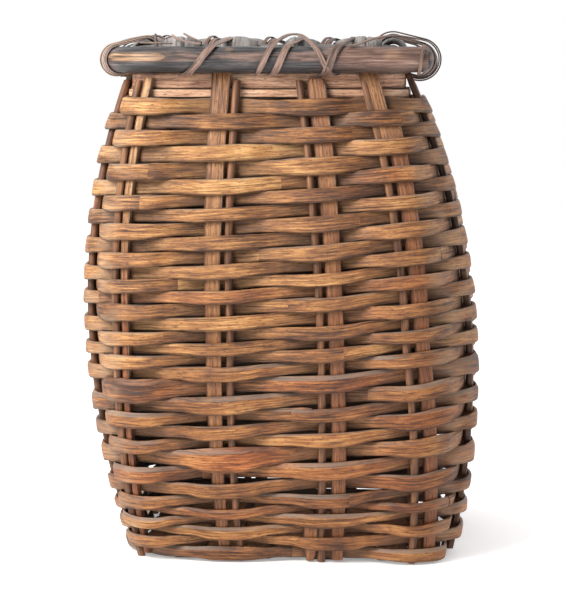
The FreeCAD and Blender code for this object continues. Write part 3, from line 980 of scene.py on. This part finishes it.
class Material(Nodes):
    """A material whose colour is laid on coat by coat."""

    def __init__(self, name):
        self.material = bpy.data.materials.new(name)
        self.material.use_nodes = True
        super().__init__(self.material.node_tree)

    def ramp(self, value, stops):
        made = self.node("ValToRGB", {"Fac": value})
        ramp = made.color_ramp
        for _ in stops[2:]:
            ramp.elements.new(0.5)
        for element, (place, colour) in zip(ramp.elements, stops):
            element.position = place
            element.color = (*colour, 1.0)
        return made.outputs["Color"]

    def coat(self, share, other, strength=None, blend="MIX"):
        """Lay another colour over the colour so far, where and as much as share says."""
        if strength is not None:
            share = self.times(share, strength)
        inputs = {0: share, 6: self.colour, 7: other}
        self.colour = self.node("Mix", inputs, data_type="RGBA", blend_type=blend).outputs[2]

    def attribute(self, title):
        if title not in self.known:
            made = self.node("Attribute", attribute_name=title)
            self.known[title] = self.split(made.outputs["Vector"])
        return self.known[title]

    def stretched(self, along, across, spread):
        """The place in the grain, stretched, and moved apart for each seed by spread."""
        axes = zip("XYZ", self.attribute("grain"), (along, across, spread))
        made = self.node("CombineXYZ", {axis: self.times(v, factor) for axis, v, factor in axes})
        return made.outputs[0]

    def noise(self, along, across, spread, detail, roughness, warp=0.0):
        made = self.node("TexNoise", {
            "Vector": self.stretched(along, across, spread), "Scale": 1.0, "Detail": detail,
            "Roughness": roughness, "Distortion": warp})
        return made.outputs["Fac"]

    def finish(self, roughness, height=None, distance=0.0, strength=0.0, sheen=0.5, **more):
        """Put the colour and the other values on the shader, over a bump of the given height."""
        shader = self.tree.nodes["Principled BSDF"]
        values = {"Base Color": self.colour, "Roughness": roughness, "Specular IOR Level": sheen}
        values.update(more)
        if height is not None:
            bump = self.node("Bump", {"Height": height, "Distance": distance, "Strength": strength})
            values["Normal"] = bump.outputs["Normal"]
        for title, value in values.items():
            self.put(shader.inputs[title], value)
        return self.material


def wood(name, stops, red, scale=1.0, rough=0.5, knots=0.85, edge=dark_mark_and_shade_colour, dirt_and_shade=dirt_and_shade_colour):
    """Split wood: long fibres, streaks, knots, grime and painted shade on the lower edges and
    behind the stakes, painted shade on the inner faces, and wear on the bends.
    """
    s = Material(name)
    across, crest, bend = s.attribute("look")
    fibre = s.noise(60 * scale, 850 * scale, 13.7, 4, 0.7)
    streak = s.noise(24, 620, 5.3, 4, 0.6, 0.2)
    patch = s.noise(34, 70, 3.1, 3, 0.55)
    shade = s.noise(9, 25, 7.7, 2, 0.5)
    crack = s.noise(13, 1300, 9.1, 2, 0.5)
    speck = s.noise(260, 1300, 1.9, 2, 0.5)
    tone = s.scaled(shade, 0.38, s.scaled(streak, 0.34, s.times(patch, 0.36)))
    tone = s.scaled(fibre, 0.78, tone)
    # Each strip is a bit lighter or darker, and some are redder
    lot = s.node("TexWhiteNoise", {"W": s.attribute("grain")[2]}, noise_dimensions="1D")
    light, redder, _ = s.split(lot.outputs["Color"])
    s.colour = s.ramp(s.plus(tone, s.scaled(light, 0.13, -0.502)), stops)
    redder = s.times(s.step(0.62, 1.0, redder), 0.7)
    s.coat(s.math("MAXIMUM", redder, s.times(bend, -1.0), clamp=True), red, blend="MULTIPLY")
    x, _, z = s.split(s.node("NewGeometry").outputs["Position"])
    # Darker and browner towards the foot: partly painted shade for the dimmer bottom of the wall
    s.coat(s.step(0.25, 0.07, z), foot_tint_and_shade, blend="MULTIPLY")
    # Painted shade: the right side darker, away from the light
    s.coat(s.step(-0.03, 0.08, x), right_side_shade, blend="MULTIPLY")
    ring = s.node("TexVoronoi", {"Vector": s.stretched(13, 95, 2.3), "Scale": 1.0}, feature="F1")
    chosen = s.step(knots, knots + 0.03, s.split(ring.outputs["Color"])[0])
    knot = s.times(s.step(0.2, 0.07, ring.outputs["Distance"]), chosen)
    s.coat(knot, edge, 0.75)
    gap = s.step(0.62, 0.68, crack)
    s.coat(gap, edge, 0.6)
    s.coat(s.step(0.57, 0.69, speck), edge, 0.62)
    uneven = s.scaled(patch, 0.8, -0.4)
    top_edge = s.step(0.76, 0.96, s.scaled(uneven, 0.7, across))
    s.coat(top_edge, weathered, s.scaled(s.step(0.44, 0.56, shade), 0.5, 0.17))
    # Painted shade with some grime along each strip's lower edge
    s.coat(s.step(-0.62, -0.95, s.scaled(uneven, 0.5, across)), edge, 0.66)
    # Grime and painted shade where a row passes behind the stakes
    s.coat(s.step(0.3, -0.9, crest), dirt_and_shade, 0.42)
    s.coat(s.times(bend, s.step(0.36, 0.6, patch)), straw, 0.65)
    # Painted shade on the faces that look into the basket
    s.coat(s.step(-1.2, -1.5, crest), inside_shade_colour, 0.88)
    height = s.scaled(fibre, 0.7, s.times(streak, 0.7))
    height = s.scaled(knot, 0.5, s.scaled(gap, -0.5, height))
    return s.finish(s.scaled(streak, 0.35, rough - 0.17), height, 0.0012, 0.8, 0.42)


def bark(name):
    """The rim's withy: charcoal bark with a painted red-brown highlight band, painted shade
    underneath, worn wood and a pale scarf.
    """
    s = Material(name)
    height_share, worn, scarf = s.attribute("look")
    fibre = s.noise(34, 700, 1.0, 5, 0.65)
    patch = s.noise(22, 150, 1.7, 4, 0.6, 0.4)
    blotch = s.noise(60, 160, 2.9, 3, 0.6)
    tone = s.scaled(patch, 0.6, s.scaled(fibre, 1.0, -0.3))
    s.colour = s.ramp(tone, charcoal)
    # Painted highlight: a red-brown band along the upper middle of the withy, where the patches
    # allow
    off_highlight_band = s.math("ABSOLUTE", s.math("SUBTRACT", height_share, 0.22))
    band = s.times(s.step(0.52, 0.2, off_highlight_band), s.step(0.36, 0.62, patch))
    s.coat(s.math("MAXIMUM", s.times(band, 0.75), worn, clamp=True), s.ramp(tone, worn_and_highlight_bark))
    # Painted shade along the underside of the withy
    s.coat(s.step(-0.25, -0.9, height_share), (0.02, 0.018, 0.018), 0.55)
    s.coat(s.step(0.6, 0.7, blotch), (0.03, 0.024, 0.022), 0.5)
    knot = s.math("MULTIPLY", scarf, -1.0, clamp=True)
    s.coat(s.math("MAXIMUM", scarf, knot, clamp=True), s.ramp(tone, bare_wood))
    outline = s.times(s.step(0.02, 0.2, scarf), s.step(0.6, 0.3, scarf))
    s.coat(outline, (0.035, 0.022, 0.016), 0.7)
    return s.finish(s.scaled(patch, 0.4, 0.3), s.scaled(fibre, 0.6, blotch), 0.0007, 0.6, 0.35)


def plain_bark(name):
    """Thin rods: smooth bark, brown with paler rubbed faces."""
    s = Material(name)
    fibre = s.noise(40, 900, 7.0, 4, 0.6)
    patch = s.noise(16, 260, 3.0, 4, 0.6, 0.3)
    tone = s.scaled(patch, 0.65, s.times(fibre, 0.35))
    s.colour = s.ramp(tone, rod_brown)
    return s.finish(s.scaled(patch, 0.3, 0.35), tone, 0.0008, 0.7, 0.25)


def grey_wood(name):
    """Weathered splints over the rim: silver grey, with dark cracks and dark edges, which between
    the folds are painted shade.
    """
    s = Material(name)
    across, _, shade = s.attribute("look")
    fibre = s.noise(90, 800, 3.0, 5, 0.7)
    patch = s.noise(60, 120, 5.0, 4, 0.6, 0.5)
    gap = s.step(0.64, 0.7, s.noise(50, 1300, 8.0, 2, 0.5))
    tone = s.scaled(patch, 0.55, s.times(fibre, 0.45))
    s.colour = s.ramp(tone, silver)
    s.coat(gap, (0.05, 0.045, 0.045), 0.75)
    s.coat(shade, (0.22, 0.17, 0.15), 0.25)
    # Dark towards the edges across: painted shade between the folds; the twig is marked dark all
    # round
    s.coat(s.step(0.55, 1.0, s.math("ABSOLUTE", across)), (0.045, 0.04, 0.038), 0.7)
    return s.finish(0.62, s.math("SUBTRACT", tone, gap), 0.0008, 0.8)


weaver_wood = wood("weaver_wood", honey, red_tint, knots=0.78)
stake_wood = wood("stake_splint", darker, brown_tint, 0.9, 0.46, 0.9)
band_wood = wood("band_wood", russet_and_painted_light, red_tint, 0.8, 0.5, 0.9)
base_wood = wood("base_splint", darker, red_tint, 0.8, 0.6, 0.9)
strip_wood = wood("lashing_strip", bast, (0.95, 0.85, 0.8), 1.3, 0.5, 0.97,
                  (0.04, 0.028, 0.024), (0.1, 0.07, 0.06))
rim_bark = bark("rim_bark")
rod_bark = plain_bark("round_stake_bark")
grey_splint = grey_wood("grey_splint")

for row, (bottom, top) in enumerate(row_bounds()):
    woven_row(row, bottom, top, weaver_wood)
for station in range(station_count):
    flat_stake(station, stake_wood)
for wall, first, count in (("front", 12, 4), ("right", 2, 3), ("back", 5, 4), ("left", 9, 3)):
    round_stakes(wall, [(first + i) % station_count for i in range(count)], rod_bark)
top_band(band_wood)
rim_rod(rim_bark)
inner_rod(grey_splint)
rim_folds(grey_splint)
rim_lashing(strip_wood)
base_splints(False, base_wood)
base_splints(True, base_wood)


# Floor, light and camera


def floor():
    bpy.ops.mesh.primitive_plane_add(size=6.0, location=(0, 0, -0.0004))
    plane = bpy.context.object
    plane.name = "floor"
    s = Material("floor")
    s.colour = (0.93, 0.93, 0.93)
    glow = {"Emission Color": white, "Emission Strength": 0.3}
    plane.data.materials.append(s.finish(0.9, **glow))


def set_up(thing, place, target):
    thing.location = place
    thing.rotation_euler = (Vector(target) - Vector(place)).to_track_quat("-Z", "Y").to_euler()
    bpy.context.scene.collection.objects.link(thing)
    return thing


def area_light(name, place, target, size, power, colour):
    data = bpy.data.lights.new(name, "AREA")
    data.shape = "DISK"
    data.size = size
    data.energy = power
    data.color = colour
    set_up(bpy.data.objects.new(name, data), place, target).visible_camera = False


def world():
    """White behind the basket, and a soft light that is strongest from the left."""
    made = bpy.data.worlds.new("studio")
    made.use_nodes = True
    n = Nodes(made.node_tree)
    back = n.tree.nodes["Background"]
    x, y, z = n.split(n.node("TexCoord").outputs["Generated"])
    from_left = n.step(-0.9, 0.25, x, 0.85, 0.03)
    strength = n.plus(n.blend(n.step(0.0, 0.5, y), from_left, 1.0), n.step(0.25, 0.75, z, 0.0, 0.6))
    seen = n.node("LightPath").outputs["Is Camera Ray"]
    n.put(back.inputs["Color"], white)
    n.put(back.inputs["Strength"], n.blend(seen, strength, 1.0))
    bpy.context.scene.world = made


camera_distance = 1.45
camera_azimuth = math.radians(3.5)
camera_height = 0.36
camera_target = (-0.003, 0.0, 0.1775)
camera_shift = -0.00375
camera_lens = 116


def camera():
    data = bpy.data.cameras.new("camera")
    data.lens = camera_lens
    side, back = math.sin(camera_azimuth), math.cos(camera_azimuth)
    place = (camera_shift + camera_distance * side, -camera_distance * back, camera_height)
    made = bpy.data.objects.new("camera", data)
    bpy.context.scene.camera = set_up(made, place, camera_target)


floor()
area_light("key", (-0.5, -0.58, 0.66), (-0.03, 0, 0.27), 0.5, 9.8, (1.0, 0.96, 0.9))
area_light("fill", (1.5, 0.15, 0.5), (0, 0, 0.18), 1.0, 5, (0.95, 0.97, 1.0))
world()
camera()
bpy.context.scene.view_settings.view_transform = "Standard"
